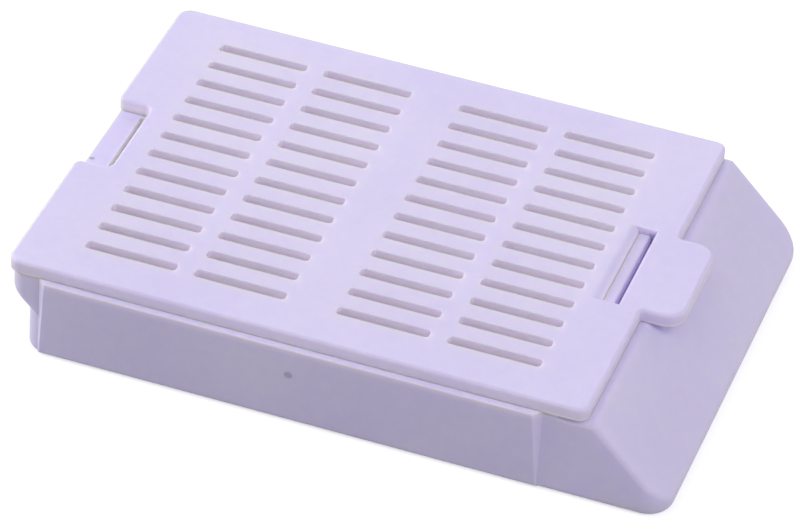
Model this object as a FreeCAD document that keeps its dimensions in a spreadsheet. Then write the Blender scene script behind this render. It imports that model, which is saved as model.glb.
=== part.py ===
import FreeCAD, Part
import Sketcher
import math
import os
import re

# Tissue cassette: an open tray with a slotted floor and a slanted writing face, closed by a slotted lid
# that hooks under a bridge at the rear and snaps over a catch at the front.
# Each body is drawn with X = 0 at the middle of the lid, +X towards the writing face, Y = 0 on the plane
# of symmetry and Z = 0 on the tray's underside. Its Placement then centres the closed cassette on X = 0.

os.makedirs("parts", exist_ok=True)
document = FreeCAD.newDocument("tissue_cassette")

# ---- Driving dimensions, in millimetres and degrees ----------------------------------------------------

DRIVING_SIZES = [
    ("lid_length", 35.0, "lid plate along X, without its tab"),
    ("lid_width", 27.72, "lid plate along Y"),
    ("lid_thickness", 0.83, "lid plate"),
    ("lid_rear_corner_radius", 0.85, "rear corners of the lid plate seen from above"),
    ("lid_front_corner_radius", 0.65, "front corners of the lid plate seen from above"),
    ("lid_edge_radius", 0.22, "rounding of the lid's upper outer edge"),
    ("notch_depth", 2.15, "rear notch in the lid, along X"),
    ("notch_width", 6.6, "rear notch in the lid, along Y"),
    ("notch_corner_radius", 0.46, "corners of the rear notch"),
    ("tab_length", 2.4, "finger tab beyond the lid's front edge"),
    ("tab_width", 7.4, "finger tab along Y"),
    ("tab_corner_radius", 1.2, "outer corners of the finger tab"),
    ("tab_root_radius", 0.25, "inner corners where the tab leaves the lid"),
    ("field_margin", 3.67, "from the drain slots to the lid's front and rear edges"),
    ("middle_gap", 3.06, "between the two inner columns of slots"),
    ("column_gap", 1.06, "between an inner and an outer column of slots"),
    ("row_margin", 2.742, "from the first and last rows of slots to the lid's sides"),
    ("slot_rows", 12, "rows of slots"),
    ("slot_width", 0.72, "drain slot along Y"),
    ("slot_corner_cut", 0.14, "corners of a drain slot, cut off at 45 degrees"),
    ("tray_height", 5.67, "from the tray's underside to its rim"),
    ("side_overhang", 0.12, "how far the lid stands out beyond a side wall"),
    ("wall_thickness", 0.9, "side and rear walls"),
    ("front_wall_thickness", 0.75, "inner front wall with its catch"),
    ("floor_thickness", 0.9, "slotted floor"),
    ("rear_corner_radius", 1.25, "vertical corners of the rear wall"),
    ("front_corner_radius", 1.6, "corners of the writing face seen from above"),
    ("inner_corner_radius", 0.6, "vertical corners inside the tray"),
    ("floor_edge_radius", 0.5, "rounding round the underside"),
    ("rim_setback", 0.2, "from the lid's rear edge in to the rear rim"),
    ("rim_overhang", 0.85, "how far the rear rim stands out from the rear wall"),
    ("rim_height", 1.1, "upright face of the rear rim"),
    ("rim_corner_radius", 0.8, "corners of the rear rim seen from above"),
    ("rim_rounding", 0.5, "rounding where the rear rim turns under"),
    ("face_angle", 45, "slope of the writing face"),
    ("face_thickness", 1.0, "writing plate, deck and lip"),
    ("face_edge_radius", 0.45, "rounding along the sides of the writing face"),
    ("ledge_width", 0.49, "flat ledge between the lid's front edge and the writing face"),
    ("ledge_step", 0.05, "how far that ledge lies below the rim"),
    ("lip_height", 1.0, "upright lip below the writing face"),
    ("panel_rear_gap", 2.0, "from the lid's rear edge to the side panel"),
    ("panel_front_gap", 2.55, "from the side panel to the lid's front edge"),
    ("panel_rise", 0.56, "how far a side panel stands out from the side wall at the rim"),
    ("panel_foot_rise", 0.05, "how far it stands out at the underside"),
    ("panel_end_bevel", 0.5, "bevel at each end of a side panel, along X"),
    ("latch_slot_length", 1.1, "latch slot in the lid, along X"),
    ("latch_slot_width", 7.6, "latch slot in the lid, along Y"),
    ("latch_bar_width", 1.3, "lid bar in front of the latch slot"),
    ("catch_clearance", 0.02, "between the catch and the rear edge of the latch slot"),
    ("catch_setback", 0.1, "from the inner face of the inner front wall to the catch"),
    ("catch_end_clearance", 0.12, "between each end of the catch and the end of the latch slot"),
    ("barb_clearance", 0.03, "between the barb's tip and the inner front wall"),
    ("latch_edge_radius", 0.6, "rounding of the latch slot's upper rear edge"),
    ("latch_play", 0.1, "upright play between the catch's nose and the lid's barb"),
    ("barb_height", 0.15, "upright tip of the barb"),
    ("catch_rise", 0.42, "catch above the rim"),
    ("catch_nose", 0.1, "nose of the catch beyond the inner front wall"),
    ("latch_tongue_depth", 1.3, "latch tongue below the lid plate"),
    ("latch_window_clearance", 0.12, "between the latch tongue and the front of its window in the deck"),
    ("bridge_thickness", 0.9, "bridge above the rear window"),
    ("bridge_length", 1.35, "that bridge along X, from the upright face of the rear rim"),
    ("rear_window_height", 1.6, "rear window below the bridge"),
    ("window_corner_radius", 0.15, "corners of the rear window"),
    ("rear_window_width", 6.2, "rear window along Y"),
    ("hinge_clearance", 0.35, "between the rear tongue and the bridge"),
    ("hinge_bead", 0.52, "how far the bead stands out from the rear tongue"),
    ("hinge_bead_slope", 0.22, "fall of that bead's upper side"),
    ("hinge_bead_drop", 0.2, "from the bridge down to that bead"),
    ("rear_tongue_depth", 1.9, "rear tongue below the lid plate"),
    ("tongue_thickness", 0.7, "rear tongue and latch tongue"),
    ("tongue_side_clearance", 0.2, "between each end of a tongue and its window"),
    ("rib_height", 0.5, "locating rib below the lid plate"),
    ("rib_thickness", 0.6, "locating rib along Y"),
    ("rib_clearance", 0.1, "between a locating rib and the side wall"),
    ("rib_end_margin", 4.0, "from a locating rib to the lid's front and rear edges"),
]

sizes = document.addObject("Spreadsheet::Sheet", "sizes")
for row, (alias, number, meaning) in enumerate(DRIVING_SIZES, start=1):
    sizes.set(f"A{row}", meaning)
    sizes.set(f"B{row}", str(number))
    sizes.setAlias(f"B{row}", alias)
document.recompute()

# Places that follow from the driving dimensions, each an expression in the body's own axes
PLACES = {
    "lid_front": "lid_length / 2",
    "lid_rear": "-lid_length / 2",
    "lid_side": "lid_width / 2",
    "rim_face": "lid_rear + rim_setback",
    "rear_wall_outside": "rim_face + rim_overhang",
    "rear_wall_inside": "rear_wall_outside + wall_thickness",
    "slot_length": "(lid_length - 2 * field_margin - middle_gap - 2 * column_gap) / 4",
    "slot_pitch": "(lid_width - 2 * row_margin - slot_width) / (slot_rows - 1)",
    "inner_column": "(middle_gap + slot_length) / 2",
    "outer_column": "inner_column + slot_length + column_gap",
    "side_wall_outside": "lid_side - side_overhang",
    "side_wall_inside": "side_wall_outside - wall_thickness",
    "latch_slot_front": "lid_front - latch_bar_width",
    "latch_slot_rear": "latch_slot_front - latch_slot_length",
    "catch_rear": "latch_slot_rear + catch_clearance",
    "front_wall_inside": "catch_rear - catch_setback",
    "front_wall_outside": "front_wall_inside + front_wall_thickness",
    "ledge_height": "tray_height - ledge_step",
    "ledge_front": "lid_front + ledge_width",
    "lip_front": "ledge_front + (ledge_height - lip_height) / tan(face_angle)",
    "lip_inside": "lip_front - face_thickness",
    "deck_underside": "tray_height - face_thickness - ledge_step",
    "face_offset": "face_thickness / sin(face_angle)",
    "catch_top": "tray_height + catch_rise",
    "latch_window_front": "latch_slot_front + tongue_thickness + latch_window_clearance",
    "bridge_underside": "tray_height - bridge_thickness",
    "bridge_inside": "rim_face + bridge_length",
    "rear_tongue_face": "bridge_inside + hinge_clearance",
    "panel_rear": "lid_rear + panel_rear_gap",
    "panel_front": "lid_front - panel_front_gap",
}
OUTSIDE = "lid_length"


def bound(text):
    """Turn a formula in plain names into an expression on the spreadsheet."""
    def replace(match):
        name = match[0]
        if name in PLACES:
            return f"({bound(PLACES[name])})"
        return f"sizes.{name}" if sizes.getCellFromAlias(name) else name
    return re.sub(r"[a-z_]+", replace, text)


def value(text):
    return float(sizes.evalExpression(bound(text)))


# ---- Sketch and feature helpers ------------------------------------------------------------------------

def new_body(name):
    body = document.addObject("PartDesign::Body", name)
    body.Label = name
    body.setExpression("Placement.Base.x", bound("-(lip_front + lid_rear) / 2"))
    return body


def new_sketch(body, name, plane, offset="0"):
    sketch = body.newObject("Sketcher::SketchObject", name)
    origin_plane = next(item for item in body.Origin.OriginFeatures if item.Role == plane)
    sketch.AttachmentSupport = [(origin_plane, "")]
    sketch.MapMode = "FlatFace"
    sketch.setExpression("AttachmentOffset.Base.z", bound(offset))
    return sketch


def bind_point(sketch, geometry, point, x, y):
    """Dimension one sketch point from the sketch's origin."""
    for kind, text in (("DistanceX", x), ("DistanceY", y)):
        index = sketch.addConstraint(Sketcher.Constraint(kind, -1, 1, geometry, point, value(text)))
        sketch.setExpression(f"Constraints[{index}]", bound(text))


def draw_outline(sketch, corners):
    """Draw a closed outline through corners (x, y) or (x, y, radius), each a formula."""
    count = len(corners)
    points = [FreeCAD.Vector(value(corner[0]), value(corner[1]), 0) for corner in corners]
    radii = [value(corner[2]) if len(corner) == 3 else 0 for corner in corners]
    arrive, leave = [], []
    for index, point in enumerate(points):
        back = (points[index - 1] - point).normalize()
        ahead = (points[(index + 1) % count] - point).normalize()
        reach = radii[index] / math.tan(back.getAngle(ahead) / 2) if radii[index] else 0
        arrive.append(point + back * reach)
        leave.append(point + ahead * reach)
    lines = [sketch.addGeometry(Part.LineSegment(leave[index], arrive[(index + 1) % count]))
             for index in range(count)]
    for index, corner in enumerate(corners):
        line_in, line_out = lines[index - 1], lines[index]
        if not radii[index]:
            sketch.addConstraint(Sketcher.Constraint("Coincident", line_in, 2, line_out, 1))
            bind_point(sketch, line_out, 1, corner[0], corner[1])
            continue
        middle = (arrive[index] + leave[index]) / 2
        to_centre = (middle - points[index]).normalize()
        half_turn = (arrive[index] - points[index]).getAngle(to_centre)
        centre = points[index] + to_centre * (radii[index] / math.sin(half_turn))
        on_arc = centre - to_centre * radii[index]
        arc = sketch.addGeometry(Part.Arc(arrive[index], on_arc, leave[index]))
        starts_at_arrival = sketch.getPoint(arc, 1).isEqual(arrive[index], 1e-6)
        first, last = (1, 2) if starts_at_arrival else (2, 1)
        sketch.addConstraint(Sketcher.Constraint("Tangent", line_in, 2, arc, first))
        sketch.addConstraint(Sketcher.Constraint("Tangent", arc, last, line_out, 1))
        radius = sketch.addConstraint(Sketcher.Constraint("Radius", arc, radii[index]))
        sketch.setExpression(f"Constraints[{radius}]", bound(corner[2]))
        vertex = sketch.addGeometry(Part.Point(points[index]), True)
        sketch.addConstraint(Sketcher.Constraint("PointOnObject", vertex, 1, line_in))
        sketch.addConstraint(Sketcher.Constraint("PointOnObject", vertex, 1, line_out))
        bind_point(sketch, vertex, 1, corner[0], corner[1])


def draw_rectangle(sketch, x_low, x_high, y_low, y_high, radius=None, cut=None):
    """Draw a rectangle with sharp corners, with rounded ones, or with corners cut off."""
    if cut:
        draw_outline(sketch, [
            (f"{x_low} + {cut}", y_low), (f"{x_high} - {cut}", y_low),
            (x_high, f"{y_low} + {cut}"), (x_high, f"{y_high} - {cut}"),
            (f"{x_high} - {cut}", y_high), (f"{x_low} + {cut}", y_high),
            (x_low, f"{y_high} - {cut}"), (x_low, f"{y_low} + {cut}"),
        ])
        return
    ends = [(x_low, y_low), (x_high, y_low), (x_high, y_high), (x_low, y_high)]
    draw_outline(sketch, [end + ((radius,) if radius else ()) for end in ends])


def pad(body, sketch, length, reverse=False):
    feature = body.newObject("PartDesign::Pad", f"{sketch.Name}_pad")
    feature.Profile = sketch
    feature.setExpression("Length", bound(length))
    feature.Reversed = reverse
    sketch.Visibility = False
    return feature


def pad_across(body, sketch, width):
    """Extrude a side profile equally to both sides of the plane of symmetry."""
    feature = pad(body, sketch, width)
    feature.Midplane = True
    return feature


def pocket(body, sketch, length, reverse=False, midplane=False):
    """Cut to a stated depth, and make sure that the cut takes material away."""
    volume_before = body.Tip.Shape.Volume
    feature = body.newObject("PartDesign::Pocket", f"{sketch.Name}_pocket")
    feature.Profile = sketch
    feature.setExpression("Length", bound(length))
    feature.Reversed = reverse
    feature.Midplane = midplane
    document.recompute()
    if not feature.Shape.Volume < volume_before:
        raise RuntimeError(f"{feature.Name} cuts nothing")
    return feature


def round_edges(body, name, radius, wanted):
    """Round every edge of the body that the function wanted picks out."""
    document.recompute()
    base = body.Tip
    names = [f"Edge{number}" for number, edge in enumerate(base.Shape.Edges, start=1) if wanted(edge)]
    if not names:
        raise RuntimeError(f"{name} finds no edge")
    feature = body.newObject("PartDesign::Fillet", name)
    feature.Base = (base, names)
    feature.setExpression("Radius", bound(radius))
    document.recompute()
    return feature


def lies_at(edge, axis, place):
    """True if the whole edge lies at one coordinate along an axis (0, 1 or 2)."""
    near, far = edge.BoundBox.getPoint(0)[axis], edge.BoundBox.getPoint(6)[axis]
    return abs(near - place) < 1e-3 and abs(far - place) < 1e-3


def cut_slots(body, bottom, depth):
    """Cut one row of drain slots upwards from a level, then repeat it along Y."""
    first_row = "-slot_pitch * (slot_rows - 1) / 2"
    row = new_sketch(body, f"{body.Name}_slot_row", "XY_Plane", bottom)
    for column in ("-outer_column", "-inner_column", "inner_column", "outer_column"):
        draw_rectangle(row, f"{column} - slot_length / 2", f"{column} + slot_length / 2",
                       f"{first_row} - slot_width / 2", f"{first_row} + slot_width / 2",
                       cut="slot_corner_cut")
    first = pocket(body, row, depth, reverse=True)
    rows = body.newObject("PartDesign::LinearPattern", f"{body.Name}_slot_rows")
    rows.Originals = [first]
    rows.Direction = (row, ["V_Axis"])
    rows.setExpression("Length", bound("slot_pitch * (slot_rows - 1)"))
    rows.setExpression("Occurrences", bound("slot_rows"))
    body.Tip = rows
    document.recompute()


# ---- Tray ----------------------------------------------------------------------------------------------

def make_outer_form(tray):
    """The closed outer block: rounded in plan, undercut below the rear rim, slanted at the front."""
    plan = new_sketch(tray, "tray_plan", "XY_Plane")
    draw_outline(plan, [
        ("rim_face", "-side_wall_outside", "rim_corner_radius"),
        ("lip_front", "-side_wall_outside", "front_corner_radius"),
        ("lip_front", "side_wall_outside", "front_corner_radius"),
        ("rim_face", "side_wall_outside", "rim_corner_radius"),
    ])
    pad(tray, plan, "tray_height")
    document.recompute()
    under_rim = new_sketch(tray, "under_rim", "XZ_Plane")
    draw_outline(under_rim, [
        (f"rim_face - {OUTSIDE}", "-floor_thickness"),
        ("rear_wall_outside", "-floor_thickness"),
        ("rear_wall_outside", "tray_height - rim_height - rim_overhang"),
        ("rim_face", "tray_height - rim_height", "rim_rounding"),
        ("rim_face", "tray_height - rim_height + rim_overhang"),
        (f"rim_face - {OUTSIDE}", "tray_height - rim_height + rim_overhang"),
    ])
    pocket(tray, under_rim, "lid_width * 2", midplane=True)
    above_face = new_sketch(tray, "above_face", "XZ_Plane")
    draw_outline(above_face, [
        ("front_wall_outside", "ledge_height"),
        ("ledge_front", "ledge_height"),
        ("lip_front", "lip_height"),
        (f"lip_front + {OUTSIDE}", "lip_height"),
        (f"lip_front + {OUTSIDE}", "tray_height + ledge_step"),
        ("front_wall_outside", "tray_height + ledge_step"),
    ])
    pocket(tray, above_face, "lid_width * 2", midplane=True)


def round_outer_form(tray):
    rear = value("rear_wall_outside")
    round_edges(tray, "rear_corners", "rear_corner_radius",
                lambda edge: lies_at(edge, 0, rear) and edge.BoundBox.YLength < 1e-3)
    round_edges(tray, "underside_edge", "floor_edge_radius", lambda edge: lies_at(edge, 2, 0))
    slope = value("tan(face_angle)")
    foot = FreeCAD.Vector(value("lip_front"), 0, value("lip_height"))
    ledge_height, ledge_rear = value("ledge_height"), value("lid_front")

    def borders_face(edge):
        on_slope = all(abs((point.x - foot.x) * slope + point.z - foot.z) < 1e-3
                       for point in edge.discretize(5))
        beside_ledge = lies_at(edge, 2, ledge_height) and edge.BoundBox.YLength < 1e-3
        return on_slope or beside_ledge

    round_edges(tray, "writing_face_edge", "face_edge_radius", borders_face)


def add_side_panels(tray):
    """Raised panels that lean back into the side walls, with bevelled ends."""
    section = new_sketch(tray, "panel_section", "YZ_Plane", "panel_rear")
    for side in ("", "-"):
        draw_outline(section, [
            (f"{side}(side_wall_inside)", "0"),
            (f"{side}(side_wall_outside + panel_foot_rise)", "0", "floor_edge_radius"),
            (f"{side}(side_wall_outside + panel_rise)", "tray_height"),
            (f"{side}(side_wall_inside)", "tray_height"),
        ])
    pad(tray, section, "panel_front - panel_rear")
    document.recompute()
    ends = new_sketch(tray, "panel_ends", "XY_Plane")
    for side in ("", "-"):
        for end, inward in (("panel_rear", "+"), ("panel_front", "-")):
            beyond = "-" if inward == "+" else "+"
            draw_outline(ends, [
                (end, f"{side}(side_wall_outside)"),
                (f"{end} {inward} 2 * panel_end_bevel", f"{side}(side_wall_outside + 2 * panel_rise)"),
                (f"{end} {beyond} panel_end_bevel", f"{side}(side_wall_outside + 2 * panel_rise)"),
                (f"{end} {beyond} panel_end_bevel", f"{side}(side_wall_outside)"),
            ])
    pocket(tray, ends, "tray_height", reverse=True)


def hollow_out(tray):
    """The tray's well, open at the top, and the space under the writing plate, open below."""
    well = new_sketch(tray, "well", "XY_Plane", "floor_thickness")
    draw_rectangle(well, "rear_wall_inside", "front_wall_inside", "-side_wall_inside", "side_wall_inside",
                   "inner_corner_radius")
    pocket(tray, well, "tray_height", reverse=True)
    under_face = new_sketch(tray, "under_face", "XZ_Plane")
    draw_outline(under_face, [
        ("front_wall_outside", "-floor_thickness"),
        ("lip_inside", "-floor_thickness"),
        ("lip_inside", "lip_height - (face_offset - face_thickness) * tan(face_angle)"),
        ("lip_front - face_offset - (deck_underside - lip_height) / tan(face_angle)", "deck_underside"),
        ("front_wall_outside", "deck_underside"),
    ])
    pocket(tray, under_face, "side_wall_inside * 2", midplane=True)


def make_latch(tray):
    """The window in the deck for the lid's latch tongue, and the catch on the wall behind it."""
    window = new_sketch(tray, "latch_window", "XY_Plane", "tray_height")
    draw_rectangle(window, "front_wall_outside", "latch_window_front",
                   "-latch_slot_width / 2", "latch_slot_width / 2")
    pocket(tray, window, "face_thickness * 2")
    catch = new_sketch(tray, "catch", "XZ_Plane")
    draw_outline(catch, [
        ("catch_rear", "tray_height - wall_thickness"),
        ("front_wall_outside", "tray_height - wall_thickness"),
        ("front_wall_outside", "tray_height + latch_play / 2"),
        ("front_wall_outside + catch_nose", "tray_height + latch_play / 2"),
        ("front_wall_outside + catch_nose", "tray_height + catch_rise / 2"),
        ("front_wall_outside", "catch_top"),
        ("catch_rear", "catch_top"),
    ])
    pad_across(tray, catch, "latch_slot_width - 2 * catch_end_clearance")
    document.recompute()


def cut_rear_window(tray):
    """The window that the lid's rear tongue reaches into, which leaves a bridge above it."""
    window = new_sketch(tray, "rear_window", "YZ_Plane", "rear_wall_inside + wall_thickness")
    draw_rectangle(window, "-rear_window_width / 2", "rear_window_width / 2",
                   "bridge_underside - rear_window_height", "bridge_underside", "window_corner_radius")
    pocket(tray, window, "wall_thickness * 2 + rim_overhang + rim_setback")
    recess = new_sketch(tray, "bridge_recess", "XY_Plane", "tray_height")
    draw_rectangle(recess, "bridge_inside", "rear_wall_inside",
                   "-rear_window_width / 2", "rear_window_width / 2")
    pocket(tray, recess, "bridge_thickness + window_corner_radius")


tray = new_body("base")
make_outer_form(tray)
round_outer_form(tray)
add_side_panels(tray)
hollow_out(tray)
make_latch(tray)
cut_rear_window(tray)
cut_slots(tray, "0", "floor_thickness")


# ---- Lid -----------------------------------------------------------------------------------------------

def make_plate(lid):
    """The plate with its rear notch, its finger tab and the latch slot."""
    plan = new_sketch(lid, "lid_plan", "XY_Plane", "tray_height")
    notch_end = "lid_rear + notch_depth"
    tab_end = "lid_front + tab_length"
    draw_outline(plan, [
        ("lid_rear", "-lid_side", "lid_rear_corner_radius"),
        ("lid_front", "-lid_side", "lid_front_corner_radius"),
        ("lid_front", "-tab_width / 2", "tab_root_radius"),
        (tab_end, "-tab_width / 2", "tab_corner_radius"),
        (tab_end, "tab_width / 2", "tab_corner_radius"),
        ("lid_front", "tab_width / 2", "tab_root_radius"),
        ("lid_front", "lid_side", "lid_front_corner_radius"),
        ("lid_rear", "lid_side", "lid_rear_corner_radius"),
        ("lid_rear", "notch_width / 2", "notch_corner_radius"),
        (notch_end, "notch_width / 2", "notch_corner_radius"),
        (notch_end, "-notch_width / 2", "notch_corner_radius"),
        ("lid_rear", "-notch_width / 2", "notch_corner_radius"),
    ])
    pad(lid, plan, "lid_thickness")
    document.recompute()
    top = value("tray_height + lid_thickness")
    round_edges(lid, "lid_upper_edge", "lid_edge_radius", lambda edge: lies_at(edge, 2, top))
    slot = new_sketch(lid, "latch_slot", "XY_Plane", "tray_height")
    draw_rectangle(slot, "latch_slot_rear", "latch_slot_front",
                   "-latch_slot_width / 2", "latch_slot_width / 2")
    pocket(lid, slot, "lid_thickness", reverse=True)
    rear = value("latch_slot_rear")
    round_edges(lid, "latch_slot_edge", "latch_edge_radius",
                lambda edge: lies_at(edge, 2, top) and lies_at(edge, 0, rear))


def add_tongues(lid):
    """The rear tongue with its bead under the bridge, and the latch tongue with its barb."""
    inside_plate = "tray_height + lid_thickness / 2"
    bead_top = "(bridge_underside - hinge_bead_drop)"
    rear = new_sketch(lid, "rear_tongue", "XZ_Plane")
    draw_outline(rear, [
        ("lid_rear + notch_depth", inside_plate),
        ("lid_rear + notch_depth", "tray_height"),
        ("rear_tongue_face", "tray_height"),
        ("rear_tongue_face", bead_top),
        ("rear_tongue_face - hinge_bead", f"{bead_top} - hinge_bead_slope"),
        ("rear_tongue_face", "tray_height - rear_tongue_depth"),
        ("rear_tongue_face + tongue_thickness", "tray_height - rear_tongue_depth"),
        ("rear_tongue_face + tongue_thickness", inside_plate),
    ])
    pad_across(lid, rear, "rear_window_width - 2 * tongue_side_clearance")
    latch = new_sketch(lid, "latch_tongue", "XZ_Plane")
    barb_tip = "front_wall_outside + barb_clearance"
    draw_outline(latch, [
        ("latch_slot_front", inside_plate),
        ("latch_slot_front", "tray_height - latch_play / 2"),
        (barb_tip, "tray_height - latch_play / 2"),
        (barb_tip, "tray_height - latch_play / 2 - barb_height"),
        ("latch_slot_front", "tray_height - latch_tongue_depth"),
        ("latch_slot_front + tongue_thickness", "tray_height - latch_tongue_depth"),
        ("latch_slot_front + tongue_thickness", inside_plate),
    ])
    pad_across(lid, latch, "latch_slot_width - 2 * tongue_side_clearance")
    document.recompute()


def add_ribs(lid):
    """Two ribs that locate the lid between the tray's side walls."""
    ribs = new_sketch(lid, "ribs", "XY_Plane", "tray_height - rib_height")
    for side in ("", "-"):
        draw_rectangle(ribs, "lid_rear + rib_end_margin", "lid_front - rib_end_margin",
                       f"{side}(side_wall_inside - rib_clearance - rib_thickness)",
                       f"{side}(side_wall_inside - rib_clearance)")
    pad(lid, ribs, "rib_height + lid_thickness / 2")
    document.recompute()


lid = new_body("lid")
make_plate(lid)
add_tongues(lid)
add_ribs(lid)
cut_slots(lid, "tray_height", "lid_thickness")

# ---- Checks and files ----------------------------------------------------------------------------------

document.recompute()
for item in document.Objects:
    if {"Invalid", "Error"} & set(item.State):
        raise RuntimeError(f"{item.Label} failed: {item.State}")
for body in (tray, lid):
    shape = body.Shape
    if shape.isNull() or not shape.isValid() or len(shape.Solids) != 1:
        raise RuntimeError(f"{body.Label} has no single valid solid")
    shape.exportStep(f"parts/{body.Label}.step")
    box = shape.BoundBox
    print(body.Label, f"{box.XMin:.3f}..{box.XMax:.3f}", f"{box.YMin:.3f}..{box.YMax:.3f}",
          f"{box.ZMin:.3f}..{box.ZMax:.3f}", f"volume {shape.Volume:.1f}", f"faces {len(shape.Faces)}")
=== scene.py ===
# %% [markdown]
# # A tissue cassette in lilac plastic
# A tissue cassette is a small slotted box that holds a piece of tissue while it is soaked in fluids.
# It is two mouldings, a tray and a snap-on lid, in one matte plastic. The shapes were drawn in CAD, so
# this lesson does what is left: it gives the plastic its finish, with painted light and shade in a few
# narrow places, adds the small marks that moulding leaves and a speck of painted shadow, and sets up a
# plain studio. Loading comes first, because every later size is taken from it.

# %% Load the imported model
import math

import bmesh
import bpy
from mathutils import Matrix, Vector


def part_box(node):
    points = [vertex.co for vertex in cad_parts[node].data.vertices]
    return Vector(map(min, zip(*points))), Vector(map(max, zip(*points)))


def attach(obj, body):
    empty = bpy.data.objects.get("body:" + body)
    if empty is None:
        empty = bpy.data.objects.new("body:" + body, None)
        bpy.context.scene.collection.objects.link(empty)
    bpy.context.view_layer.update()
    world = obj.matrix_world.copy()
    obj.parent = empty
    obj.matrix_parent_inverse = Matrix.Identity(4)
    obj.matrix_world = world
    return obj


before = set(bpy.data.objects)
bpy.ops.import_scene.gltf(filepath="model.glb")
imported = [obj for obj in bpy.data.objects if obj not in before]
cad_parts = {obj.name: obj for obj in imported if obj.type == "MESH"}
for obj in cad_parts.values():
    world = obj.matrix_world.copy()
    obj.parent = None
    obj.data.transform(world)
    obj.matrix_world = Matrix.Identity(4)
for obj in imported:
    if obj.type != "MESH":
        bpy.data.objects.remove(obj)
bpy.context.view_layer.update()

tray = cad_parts["base"]
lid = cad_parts["lid"]
mm = 0.001

# %% [markdown]
# ## Places that the later steps share
# The tray's foot stands on zero height, and the lid lies on its rim. The places below could all be typed,
# but then they would be wrong as soon as the part changes. So the corners are read from the two nodes'
# own boxes, and only what a box can't tell, such as the lid's thickness, is written here, once.

# %% Read the main places from the two nodes
tray_low, tray_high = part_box("base")
lid_low, lid_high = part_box("lid")
lid_top = lid_high.z
lid_thickness = 0.83 * mm
lid_half_length = 17.5 * mm
lip_height = 1.0 * mm
seam = lid_top - lid_thickness
lid_middle = lid_low.x + lid_half_length
writing_plane = tray_high.x + lip_height
print(f"lid top {lid_top / mm:.2f} mm, seam {seam / mm:.2f} mm, lid middle x {lid_middle / mm:.3f} mm")

# %% [markdown]
# ## The camera
# The product is seen from above its near corner, about 37 degrees above the table, through a long lens
# that hardly narrows the far side. A long lens from 30 cm keeps that look. The camera also leans a few
# degrees, as a hand-held one does. Its axes are worked out from three angles, which are easier to
# read and to change than nine numbers of a matrix.

# %% Place the camera by its angles
swing = math.radians(16.8816)
rise = math.radians(37.3374)
lean = math.radians(4.1749)
camera_reach = 300 * mm
step_right, step_down = 1.45465 * mm, 3.66764 * mm
lens_length = 230.783
aim = Vector((lid_middle, 0, lid_top))

towards_camera = Vector((math.sin(swing) * math.cos(rise), -math.cos(swing) * math.cos(rise), math.sin(rise)))
level_right = Vector((math.cos(swing), math.sin(swing), 0))
level_up = towards_camera.cross(level_right)
camera_right = level_right * math.cos(lean) + level_up * math.sin(lean)
camera_up = level_up * math.cos(lean) - level_right * math.sin(lean)

lens = bpy.data.cameras.new("studio_camera")
lens.sensor_width = 36
lens.lens = lens_length
lens.clip_start = 0.01
lens.clip_end = 20
camera = bpy.data.objects.new("studio_camera", lens)
bpy.context.scene.collection.objects.link(camera)
place = aim + towards_camera * camera_reach + camera_right * step_right - camera_up * step_down
turned = Matrix((camera_right, camera_up, towards_camera)).transposed().to_4x4()
camera.matrix_world = Matrix.Translation(place) @ turned
bpy.context.scene.camera = camera
print("camera at", [round(c / mm, 1) for c in place], "mm")

# %% [markdown]
# ## Shader maths as sums
# A finish is built from nodes, but a page of node calls hides the idea. This small class wraps one
# output of a node. Adding or multiplying two of them places the Math node, so a mask can be written as
# `1 - mask`. Every other kind of node comes from its one method `node`, which sets the node's own
# settings first and then its sockets. A socket takes either a plain value or another node's output.

# %% One class for shader sums
class Wire:
    """One output of a shader node."""

    def __init__(self, socket):
        self.socket = socket
        self.tree = socket.id_data

    @classmethod
    def node(cls, tree, kind, settings=None, inputs=None, output=0):
        made = tree.nodes.new(kind)
        for name, value in (settings or {}).items():
            setattr(made, name, value)
        for name, value in (inputs or {}).items():
            if isinstance(value, Wire):
                tree.links.new(value.socket, made.inputs[name])
            else:
                made.inputs[name].default_value = value
        return cls(made.outputs[output]) if made.outputs else made

    def maths(self, operation, *values):
        return Wire.node(self.tree, "ShaderNodeMath", {"operation": operation}, dict(enumerate(values or [self])))

    def __add__(self, other):
        return self.maths("ADD", self, other)

    def __radd__(self, other):
        return self.maths("ADD", other, self)

    def __sub__(self, other):
        return self.maths("SUBTRACT", self, other)

    def __rsub__(self, other):
        return self.maths("SUBTRACT", other, self)

    def __mul__(self, other):
        return self.maths("MULTIPLY", self, other)

    def __rmul__(self, other):
        return self.maths("MULTIPLY", other, self)


print("outputs of nodes can be added, subtracted and multiplied")

# %% [markdown]
# ## Colours as a paint chart gives them
# A paint chart numbers a colour from 0 to 255 in steps that look even to the eye. A shader counts light
# instead, where half the number is half the light. The colours could be written in light, but nobody
# reads a lilac off such numbers, so one small function turns the chart's numbers into light.

# %% Turn a chart colour into light
def linear(red, green, blue):
    def straight(value):
        value = value / 255
        return value / 12.92 if value <= 0.04045 else ((value + 0.055) / 1.055) ** 2.4
    return (straight(red), straight(green), straight(blue), 1)


print("lilac in linear light:", [round(c, 3) for c in linear(220, 213, 246)])

# %% [markdown]
# ## Masks by place
# Some parts of the finish depend on where they are. They could be painted on a map, but a map has to be
# redrawn for another size. A mask worked out from the place of each point, in metres, follows the part
# instead. `fade` is 1 up to one distance and falls softly to 0 at another. `between` is 1 from one
# distance to another. The rest measure: along an axis, across from the middle, from the lid's rear edge,
# and how steep the surface stands.

# %% Helpers that measure a place
def fade(value, full, gone):
    return Wire.node(value.tree, "ShaderNodeMapRange", {"interpolation_type": "SMOOTHSTEP"}, {
        "Value": value, "From Min": full, "From Max": gone, "To Min": 1.0, "To Max": 0.0})


def between(value, low, high, soft):
    return fade(value, high, high + soft) * (1 - fade(value, low - soft, low))


def along(tree, axis):
    spot = Wire.node(tree, "ShaderNodeTexCoord", output="Object")
    return Wire.node(tree, "ShaderNodeSeparateXYZ", inputs={"Vector": spot}, output=axis)


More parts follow.
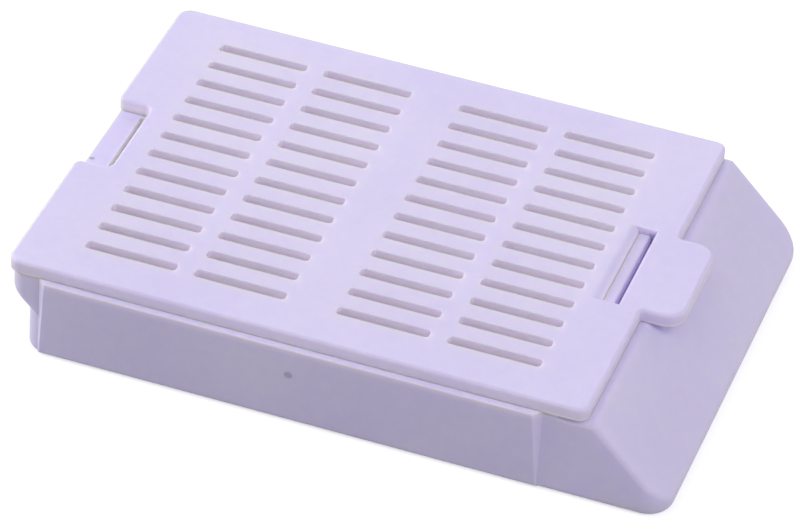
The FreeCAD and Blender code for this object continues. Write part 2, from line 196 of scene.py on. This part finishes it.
def across(tree):
    return along(tree, "Y").maths("ABSOLUTE")


def from_rear(tree):
    return along(tree, "X") - lid_low.x


def is_upright(tree):
    facing = Wire.node(tree, "ShaderNodeTexCoord", output="Normal")
    upward = Wire.node(tree, "ShaderNodeSeparateXYZ", inputs={"Vector": facing}, output="Z")
    return fade(upward.maths("ABSOLUTE"), 0.2, 0.9)


print(f"places are measured from the lid's rear edge, x {lid_low.x / mm:.2f} mm")

# %% [markdown]
# ## Where light travels far
# Light goes about a millimetre into this plastic. In the slotted field and in the writing plate nothing
# stops it, and the slots' walls look pale. These two masks say where that is, for the finish below. Each
# pair of lengths gives the distance up to which a mask is full and the one at which it is gone.

# %% Masks for the slotted field and the writing plate
field_along = (14.2 * mm, 15.0 * mm)
field_across = (11.5 * mm, 12.3 * mm)
plate_start = (lid_high.x - 2.2 * mm, lid_high.x - 1.4 * mm)
plate_top = (4.9 * mm, 5.3 * mm)


def in_slotted_field(tree):
    from_middle = (along(tree, "X") - lid_middle).maths("ABSOLUTE")
    return fade(from_middle, *field_along) * fade(across(tree), *field_across)


def in_front_plate(tree):
    ahead = 1 - fade(along(tree, "X"), *plate_start)
    return ahead * fade(along(tree, "Z"), *plate_top)


print(f"slotted field up to {field_along[0] / mm:.1f} mm each way along and {field_across[0] / mm:.1f} mm across")

# %% [markdown]
# ## Painted light on the thin walls
# The upright walls of the lid are thin, and light comes through them from both sides, so on the real
# object they stay nearly as pale as the top. This could be left to the renderer alone, but it loses part
# of that light in a slot this narrow. So a mask gives each kind of wall its share of painted light, a paler
# colour: most low in the slots, less in the rear notch, behind the catch and at the joint, and a little on
# every upright face. The colour is paler than the real plastic, to make up for the lost light.

# %% A mask for painted light on the thin walls
lid_walls = (5.1 * mm, 5.5 * mm)
slot_edge = (lid_top - 0.5 * mm, lid_top - 0.1 * mm)
notch_across = (3.4 * mm, 3.8 * mm)
notch_along = (2.2 * mm, 2.5 * mm)
catch_from, catch_to, catch_soft = 32.4 * mm, 32.8 * mm, 0.1 * mm
joint_reach = 0.08 * mm
notch_share, catch_share, joint_share, wall_share = 0.7, 0.65, 0.5, 0.35


# Painted light: the share of the paler colour that each upright wall gets.
def painted_wall_light_mask(tree):
    height = along(tree, "Z")
    middle = fade(across(tree), *notch_across)
    notch = fade(from_rear(tree), *notch_along) * middle
    catch_back = between(from_rear(tree), catch_from, catch_to, catch_soft) * middle
    joint = between(height, seam - joint_reach, seam + joint_reach, joint_reach)
    upper = 1 - fade(height, *lid_walls)
    below_edge = fade(height, *slot_edge)
    share = (in_slotted_field(tree) + notch_share * notch) * below_edge
    share = share + catch_share * catch_back + joint_share * joint + wall_share
    return is_upright(tree) * upper * share


print(f"thin walls start at height {lid_walls[1] / mm:.1f} mm")

# %% [markdown]
# ## Two narrow gaps and the writing face
# In the rear notch a narrow slit separates the tray's bridge from the lid's tongue. It renders too dark,
# so its walls get painted light, the palest colour of all. The gap in front of the catch renders too light,
# so it gets painted shade, a darker colour. Modelling every hidden face below them would also do it, but
# those faces can't be seen to be copied. Both gaps are told apart by their distance from the rear edge.
# The writing face is a plane at 45 degrees, and on such a plane the sum of x and z is the same everywhere,
# so its mask is a single sum.

# %% Masks for painted light in the hinge slit, painted shade in the latch gap, and the writing face
slit_from, slit_to, slit_soft = 1.3 * mm, 2.6 * mm, 0.2 * mm
slit_foot, slit_head, slit_end_soft = 3.5 * mm, seam + 0.1 * mm, 0.3 * mm
gap_from, gap_to, gap_soft = 33.2 * mm, 33.75 * mm, 0.05 * mm
gap_across = (3.9 * mm, 4.0 * mm)
gap_top = (6.1 * mm, 6.4 * mm)
face_skin = (0.02 * mm, 0.06 * mm)
face_across = (12.8 * mm, 13.2 * mm)


# Painted light: where the hinge slit's walls get the palest colour.
def painted_slit_light_mask(tree):
    depth = between(along(tree, "Z"), slit_foot, slit_head, slit_end_soft)
    slit = between(from_rear(tree), slit_from, slit_to, slit_soft) * fade(across(tree), *notch_across)
    return is_upright(tree) * slit * depth


# Painted shade: where the latch gap gets a darker colour.
def painted_gap_shade_mask(tree):
    gap = between(from_rear(tree), gap_from, gap_to, gap_soft) * fade(across(tree), *gap_across)
    return gap * fade(along(tree, "Z"), *gap_top)


def on_writing_face(tree):
    off_plane = (along(tree, "X") + along(tree, "Z") - writing_plane).maths("ABSOLUTE")
    return fade(off_plane, *face_skin) * fade(across(tree), *face_across)


print(f"hinge slit {slit_from / mm:.1f} to {slit_to / mm:.1f} mm from the rear, writing face at x + z = "
      f"{writing_plane / mm:.2f} mm")

# %% [markdown]
# ## The moulded plastic
# The cassette is acetal, a tough, slightly milky plastic that stands up to solvents. It is coloured right
# through, so it has no paint edge to wear. Its surface is copied from the steel mould, which was
# roughened by sparks: a very fine grain, a matte sheen, and a slight cloudiness where the melt flowed.
# A flat colour would look like paper, so the colour, the gloss and the grain each vary a little, at the
# grain's real size of about a tenth of a millimetre. The writing face is frosted finer, to hold ink.
#
# Where the lid lies on the rim, the two mouldings touch face to face, and light that travels far would be
# lost between them. One shader for all would have to choose. So two are mixed: a long travel in the
# slotted field and the writing plate, a short one elsewhere. Over the lilac come three painted colours,
# each through its mask: painted light on the thin walls, painted shade in the latch gap and painted light
# in the hinge slit.

# %% A function for one moulding's finish
# Painted light: a paler colour on the thin walls, for light the renderer loses.
painted_wall_light = linear(246, 236, 255)
# Painted shade: a darker colour for the gap in front of the catch.
painted_gap_shade = linear(210, 201, 237)
# Painted light: the palest colour, for the walls of the hinge slit.
painted_slit_light = linear(255, 250, 255)
plastic_ior = 1.48
cloud_scale, mottle_scale, grain_scale, wave_scale = 130, 1400, 9000, 220
cloud_share = 0.7
flow_from, flow_to = 0.35, 0.65
wave_height, bump_strength = 6, 0.6
frosted_gloss = 0.15
short_travel, long_travel = 0.3 * mm, 0.8 * mm
travel_by_colour = (1.0, 0.9, 1.1)


def moulded_acetal(name, pale, deep, gloss_low, gloss_high, grain_height):
    finish = bpy.data.materials.new(name)
    finish.use_nodes = True
    tree = finish.node_tree
    tree.nodes.clear()

    def node(kind, settings=None, inputs=None, output=0):
        return Wire.node(tree, kind, settings, inputs, output)

    def noise(scale, detail, **more):
        return node("ShaderNodeTexNoise", inputs={"Vector": spot, "Scale": scale, "Detail": detail, **more})

    def blend(mask, under, over):
        return node("ShaderNodeMix", {"data_type": "RGBA"}, {0: mask, 6: under, 7: over}, output=2)

    spot = node("ShaderNodeTexCoord", output="Object")
    clouds, mottle = noise(cloud_scale, 3, Roughness=0.5), noise(mottle_scale, 2, Roughness=0.6)
    cloudiness = clouds * cloud_share + mottle * (1 - cloud_share)
    flow = node("ShaderNodeMapRange", inputs={"Value": cloudiness, "From Min": flow_from, "From Max": flow_to})
    colour = blend(flow, pale, deep)
    # Painted light on the thin walls, then painted shade in the latch gap and painted light in the hinge slit.
    colour = blend(painted_wall_light_mask(tree), colour, painted_wall_light)
    # Painted shade in the latch gap.
    colour = blend(painted_gap_shade_mask(tree), colour, painted_gap_shade)
    # Painted light in the hinge slit.
    colour = blend(painted_slit_light_mask(tree), colour, painted_slit_light)

    frosting = on_writing_face(tree)
    grain, waves = noise(grain_scale, 2, Roughness=0.6), noise(wave_scale, 1)
    relief = grain * (frosting * grain_height + grain_height) + waves * (grain_height * wave_height)
    bump = node("ShaderNodeBump", inputs={"Height": relief, "Distance": 1.0, "Strength": bump_strength})
    gloss = gloss_low + (gloss_high - gloss_low) * mottle + frosted_gloss * frosting

    def acetal(light_travel):
        return node("ShaderNodeBsdfPrincipled", {"subsurface_method": "RANDOM_WALK"}, {
            "Base Color": colour, "Roughness": gloss, "Normal": bump, "IOR": plastic_ior,
            "Subsurface Weight": 1.0, "Subsurface Scale": light_travel,
            "Subsurface Radius": travel_by_colour})

    beside_joint, open_wall = acetal(short_travel), acetal(long_travel)
    free = in_slotted_field(tree) + in_front_plate(tree)
    plastic = node("ShaderNodeMixShader", inputs={0: free, 1: beside_joint, 2: open_wall})
    node("ShaderNodeOutputMaterial", inputs={"Surface": plastic})
    return finish


print(f"light travels {short_travel / mm:.1f} mm beside the joint and {long_travel / mm:.1f} mm in the open")

# %% [markdown]
# ## The finish on the two mouldings
# Tray and lid come from one batch of plastic, so they share one lilac. They could share one material too,
# but no two moulds are roughened quite alike, so the tray is made a touch duller than the lid. The height
# of the grain is given in metres, and is one and a half thousandths of a millimetre.

# %% Give each moulding its plastic
lilac, deep_lilac = linear(222, 215, 247), linear(217, 209, 244)
grain_height = 1.5e-6
lid_plastic = moulded_acetal("lilac_acetal_lid", lilac, deep_lilac, 0.42, 0.52, grain_height)
tray_plastic = moulded_acetal("lilac_acetal_tray", lilac, deep_lilac, 0.44, 0.54, grain_height)
lid.material_slots[0].material = lid_plastic
tray.material_slots[0].material = tray_plastic
print("finishes:", lid_plastic.name, tray_plastic.name)

# %% [markdown]
# ## Softened edges
# A mould is never dead sharp, so every edge of a moulding has a tiny radius, about a fiftieth of a
# millimetre, which catches a thin line of light. The CAD has the large radii. The small ones could be
# drawn there too, but they would cost thousands of faces, so they come from four modifiers. Weld joins
# the points that the file keeps apart, Decimate makes whole faces of flat triangles, Bevel rounds each
# edge sharper than 35 degrees, and Weighted Normal keeps the flat faces flat. The CAD mesh stays as it is.

# %% Round the small edges
def soften_edges(moulding, radius):
    weld = moulding.modifiers.new("weld", "WELD")
    weld.merge_threshold = 1e-8
    flat = moulding.modifiers.new("flat_faces", "DECIMATE")
    flat.decimate_type = "DISSOLVE"
    flat.angle_limit = math.radians(0.5)
    bevel = moulding.modifiers.new("small_radii", "BEVEL")
    bevel.width = radius
    bevel.segments = 2
    bevel.limit_method = "ANGLE"
    bevel.angle_limit = math.radians(35)
    shading = moulding.modifiers.new("flat_shading", "WEIGHTED_NORMAL")
    shading.keep_sharp = False
    shading.weight = 80
    shaped = moulding.evaluated_get(bpy.context.evaluated_depsgraph_get()).data
    print(moulding.name, "has", len(shaped.polygons), "faces once its edges are rounded")


edge_radius = 0.02 * mm
for moulding in (tray, lid):
    soften_edges(moulding, edge_radius)

# %% [markdown]
# ## The small marks of moulding, and a painted shadow
# Two marks tell a moulding from a machined block. The melt enters through a gate in the middle of the
# near side, and where the gate breaks off it leaves a low ring with a torn, darker middle. Round pins push
# the warm part off the core, and each leaves a faint ring on the inside. A third mark is painted shadow: a
# dark speck on the rim at the rear notch's near corner stands in for the shaded gap where the lid's corner
# meets the rim. They could be painted on, but a mark with a real rim catches light from every side, so
# each is turned from a profile, as on a lathe. A profile is a row of radii and heights in millimetres,
# from the middle outwards. All marks stand a few hundredths of a millimetre proud.

# %% A mark turned from its profile
def turned_mark(name, profile, place, outwards, finish, body, stretch=1.0, around=48):
    shape = bmesh.new()
    angles = [2 * math.pi * step / around for step in range(around)]
    rings = [[shape.verts.new((radius * math.cos(a) * mm, radius * math.sin(a) * stretch * mm, height * mm))
              for a in angles] for radius, height in profile]
    for inner, outer in zip(rings, rings[1:]):
        for step in range(around):
            after = (step + 1) % around
            shape.faces.new((inner[step], outer[step], outer[after], inner[after]))
    shape.faces.new(rings[0])
    mesh = bpy.data.meshes.new(name)
    shape.to_mesh(mesh)
    shape.free()
    mesh.polygons.foreach_set("use_smooth", [True] * len(mesh.polygons))
    mesh.materials.append(finish)
    mark = bpy.data.objects.new(name, mesh)
    bpy.context.scene.collection.objects.link(mark)
    mark.rotation_euler = outwards.to_track_quat("Z", "Y").to_euler()
    mark.location = place
    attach(mark, body)


print("a mark is turned in 48 steps")

# %% [markdown]
# ## The torn plastic of the gate, and the painted shadow speck
# The middle of the gate is torn plastic, duller and greyer than the mould's surface. The speck is painted
# shadow, a grey dot for the shaded gap at the notch's corner. A flat grey would look like a sticker, so a
# fine noise carries the colour between two greys, and the gloss and the relief with it.

# %% A function for torn plastic and for the painted shadow speck
torn_height, torn_gloss = 2e-5, 0.15


def speckled(name, colour, deep, rough):
    finish = bpy.data.materials.new(name)
    finish.use_nodes = True
    tree = finish.node_tree
    tree.nodes.clear()
    spot = Wire.node(tree, "ShaderNodeTexCoord", output="Object")
    torn = Wire.node(tree, "ShaderNodeTexNoise", inputs={"Vector": spot, "Scale": grain_scale, "Detail": 3})
    shade = Wire.node(tree, "ShaderNodeMix", {"data_type": "RGBA"}, {0: torn, 6: colour, 7: deep}, output=2)
    relief = {"Height": torn * torn_height, "Distance": 1.0, "Strength": bump_strength}
    bump = Wire.node(tree, "ShaderNodeBump", inputs=relief)
    surface = Wire.node(tree, "ShaderNodeBsdfPrincipled", inputs={
        "Base Color": shade, "Roughness": rough + torn_gloss * torn, "Normal": bump, "IOR": plastic_ior})
    Wire.node(tree, "ShaderNodeOutputMaterial", inputs={"Surface": surface})
    return finish


gate_scar = speckled("gate_scar_lilac_grey", linear(192, 187, 224), linear(170, 165, 204), 0.55)
# Painted shadow: the speck's grey stands in for the shaded gap at the notch's corner.
painted_shadow_speck = speckled("painted_shadow_speck_grey", linear(192, 186, 208), linear(172, 166, 190), 0.6)
print("finishes:", gate_scar.name, painted_shadow_speck.name)

# %% [markdown]
# ## The gate, the pins and the speck in their places
# The gate sits in the middle of the near side panel. The panel leans out by half a millimetre from foot
# to rim, so the mark leans with it: the panel's slope gives both its place and its direction. Three
# pins pushed on the tray's plain middle strip, and three on the lid's underside above them, where the
# slots leave room. The places could be typed as points, but the seam and the lid's middle already have
# names, so the marks follow them. The lid's marks ride with the lid, and are seen when it is open.

# %% Set the marks on the mouldings
gate_height = 3.7 * mm
gate_off_middle = 0.066 * mm
panel_foot = 13.79 * mm
panel_slope = (-tray_low.y - panel_foot) / seam
on_panel = Vector((lid_middle - gate_off_middle, -panel_foot - panel_slope * gate_height, gate_height))
gate_profile = [(0.05, 0.004), (0.1, 0.006), (0.14, 0.012), (0.17, 0.03), (0.2, 0.034), (0.23, 0.026), (0.25, -0.01)]
turned_mark("gate_mark", gate_profile, on_panel, Vector((0, -1, -panel_slope)), gate_scar, "base")

# The speck is painted shadow, set on the rim where the lid's corner leaves a shaded gap.
speck_from_rear, speck_to_near = 0.432 * mm, 1.9 * mm
on_rim = Vector((lid_low.x + speck_from_rear, -speck_to_near, seam))
speck_profile = [(0.03, 0.012), (0.07, 0.011), (0.11, 0.008), (0.14, 0.003), (0.15, -0.004)]
turned_mark("dark_speck", speck_profile, on_rim, Vector((0, 0, 1)), painted_shadow_speck, "base", stretch=0.85)

floor_top = 0.9 * mm
pin_profile = [(0.9, 0.002), (0.98, 0.004), (1.0, 0.02), (1.03, 0.026), (1.06, 0.02), (1.09, -0.005)]
pin_spacing = 8.8 * mm
up, down = Vector((0, 0, 1)), Vector((0, 0, -1))
for number in (1, 2, 3):
    sideways = (number - 2) * pin_spacing
    on_floor, below_lid = Vector((lid_middle, sideways, floor_top)), Vector((lid_middle, sideways, seam))
    turned_mark(f"tray_pin_mark_{number}", pin_profile, on_floor, up, tray_plastic, "base")
    turned_mark(f"lid_pin_mark_{number}", pin_profile, below_lid, down, lid_plastic, "lid")
panel_lean = math.degrees(math.atan(panel_slope))
print(f"gate mark at height {gate_height / mm:.1f} mm, panel leans {panel_lean:.1f} degrees")

# %% [markdown]
# ## The floor
# A product picture needs a white ground with a soft shadow under the object. The sheet could be lit until
# it is white, but that much light would burn out the lilac too. So it is a grey paper that glows a
# little, for the camera and for reflections only. It looks white wherever the lamps reach it, and a
# little darker in the object's shadow.

# %% Lay the floor
sheet_half_size = 0.6
sheet_gap = 0.02 * mm
paper_grey, paper_glow = 0.55, 0.62
floor_mesh = bpy.data.meshes.new("studio_floor")
shape = bmesh.new()
bmesh.ops.create_grid(shape, x_segments=1, y_segments=1, size=sheet_half_size)
shape.to_mesh(floor_mesh)
shape.free()
floor = bpy.data.objects.new("studio_floor", floor_mesh)
floor.location.z = tray_low.z - sheet_gap
bpy.context.scene.collection.objects.link(floor)

paper = bpy.data.materials.new("white_paper")
paper.use_nodes = True
ground = paper.node_tree
ground.nodes.clear()
camera_ray = Wire.node(ground, "ShaderNodeLightPath", output="Is Camera Ray")
glossy_ray = Wire.node(ground, "ShaderNodeLightPath", output="Is Glossy Ray")
seen = camera_ray + glossy_ray
sheet = Wire.node(ground, "ShaderNodeBsdfDiffuse", inputs={"Color": (paper_grey, paper_grey, paper_grey, 1)})
glow = Wire.node(ground, "ShaderNodeEmission", inputs={"Color": (1, 1, 1, 1), "Strength": seen * paper_glow})
both = Wire.node(ground, "ShaderNodeAddShader", inputs={0: sheet, 1: glow})
Wire.node(ground, "ShaderNodeOutputMaterial", inputs={"Surface": both})
floor_mesh.materials.append(paper)
print("floor at", round(floor.location.z / mm, 3), "mm")

# %% [markdown]
# ## The tent's own light
# A white tent lights an object evenly from all round. The world stands in for its cloth: it is white
# where the camera looks past the object, and gives the object itself only a low, even light. A stronger
# world could light everything alone, but then no side would differ from another.

# %% Hang the white tent
ambient = 0.20
world = bpy.data.worlds.new("white_tent")
bpy.context.scene.world = world
world.use_nodes = True
tent = world.node_tree
tent.nodes.clear()
past_object = Wire.node(tent, "ShaderNodeLightPath", output="Is Camera Ray")
strength = past_object * (1 - ambient) + ambient
sky = Wire.node(tent, "ShaderNodeBackground", inputs={"Color": (1, 1, 1, 1), "Strength": strength})
Wire.node(tent, "ShaderNodeOutputWorld", inputs={"Surface": sky})
print("the tent lights the object at", ambient)

# %% [markdown]
# ## The soft lamps
# One lamp overhead would leave every side equally dark. Seven soft lamps stand round the table instead,
# each a square, so that no shadow has a hard edge. The low one at the rear gives the top its light and
# spares the writing face, which looks the other way. The three on the near side keep the side walls at
# about half the top's light. The far lamp stands close, so that its light falls off towards the near edge.

# %% Set the lamps round the table
def soft_lamp(name, round_from_front, above_table, power, reach=0.7, width=0.4):
    light = bpy.data.lights.new(name, "AREA")
    light.shape = "SQUARE"
    light.size = width
    light.energy = power
    lamp = bpy.data.objects.new(name, light)
    turn, tilt = math.radians(round_from_front), math.radians(above_table)
    towards = Vector((math.cos(turn) * math.cos(tilt), math.sin(turn) * math.cos(tilt), math.sin(tilt)))
    lamp.location = towards * reach
    lamp.rotation_euler = (-towards).to_track_quat("-Z", "Y").to_euler()
    bpy.context.scene.collection.objects.link(lamp)
    print(f"{name}: {power} W, {above_table} degrees above the table")


soft_lamp("near_left_lamp", 240, 60, 0.66)
soft_lamp("near_lamp", 293, 60, 1.51, reach=1.4)
soft_lamp("near_right_lamp", 330, 45, 1.47)
soft_lamp("front_lamp", 10, 25, 0.47)
soft_lamp("front_far_lamp", 60, 25, 0.46)
soft_lamp("far_lamp", 115, 25, 0.257, reach=0.3, width=0.25)
soft_lamp("rear_lamp", 180, 25, 2.92)

# %% [markdown]
# ## Plain colours, and the end
# The Standard view shows a colour as it was written.

# %% Set the view and finish
bpy.context.scene.view_settings.view_transform = "Standard"
